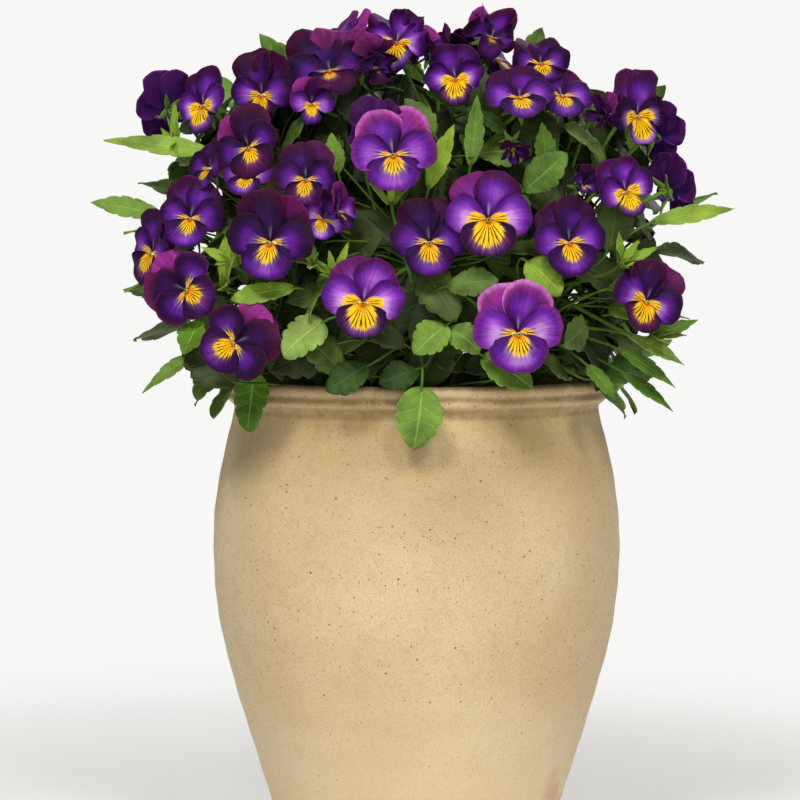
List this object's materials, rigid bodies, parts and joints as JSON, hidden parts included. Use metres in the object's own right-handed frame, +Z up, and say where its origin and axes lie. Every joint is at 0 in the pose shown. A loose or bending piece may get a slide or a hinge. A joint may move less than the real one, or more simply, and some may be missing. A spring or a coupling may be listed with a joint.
{
  "type": "potted pansy planter",
  "caption": "Round-bellied glazed stoneware pot with a rolled rim, filled with soil and planted with a dense dome of violet pansies with yellow throats and toothed green leaves.",
  "frame": {"origin": "middle of the pot's flat foot, on the surface that it stands on", "axes": "+Z up along the pot's axis; the side with the main flowers faces -Y"},
  "size_m": [0.3272, 0.2587, 0.4438],
  "materials": {
    "foliage": "satin",
    "glaze": "satin",
    "petal_deep_violet": "matte",
    "petal_lavender": "matte",
    "petal_magenta": "matte",
    "petal_violet": "matte",
    "soil": "matte"
  },
  "bodies": {
    "root": {"pot": "glaze", "soil": "soil", "leafy_stem_01": "foliage", "leafy_stem_02": "foliage", "leafy_stem_03": "foliage", "leafy_stem_04": "foliage", "leafy_stem_05": "foliage", "leafy_stem_06": "foliage", "leafy_stem_07": "foliage", "leafy_stem_08": "foliage", "leafy_stem_09": "foliage", "leafy_stem_10": "foliage", "bloom_a01": "petal_violet", "bloom_a02": "petal_violet", "bloom_a03": "petal_lavender", "bloom_a04": "petal_lavender", "bloom_a05": "petal_deep_violet", "bloom_a06": "petal_lavender", "bloom_a07": "petal_deep_violet", "bloom_a08": "petal_deep_violet", "bloom_a09": "petal_deep_violet", "bloom_a10": "petal_deep_violet", "bloom_a11": "petal_deep_violet", "bloom_a12": "petal_deep_violet", "bloom_a13": "petal_deep_violet", "bloom_a14": "petal_lavender", "bloom_a15": "petal_violet", "bloom_a17": "petal_violet", "bloom_a18": "petal_violet", "bloom_a19": "petal_lavender", "bloom_a20": "petal_violet", "bloom_a21": "petal_lavender", "bloom_a23": "petal_deep_violet", "bloom_a24": "petal_magenta", "bloom_a25": "petal_lavender", "bloom_a26": "petal_violet", "bloom_a27": "petal_violet", "bloom_a28": "petal_violet", "bloom_a29": "petal_deep_violet", "bloom_a30": "petal_deep_violet", "bloom_a31": "petal_violet", "bloom_a32": "petal_magenta", "bloom_back00": "petal_violet", "bloom_back01": "petal_lavender", "bloom_back02": "petal_lavender", "bloom_back03": "petal_violet", "bloom_back04": "petal_violet", "bloom_back10": "petal_lavender", "bloom_back11": "petal_violet", "bloom_back12": "petal_violet", "bloom_back13": "petal_violet", "bloom_back14": "petal_violet", "bloom_back20": "petal_lavender", "bloom_back21": "petal_violet", "bloom_back22": "petal_violet", "bloom_back23": "petal_deep_violet", "bloom_back30": "petal_deep_violet", "bloom_back31": "petal_violet", "bloom_back32": "petal_deep_violet", "bloom_back33": "petal_lavender"}
  },
  "joints": []
}
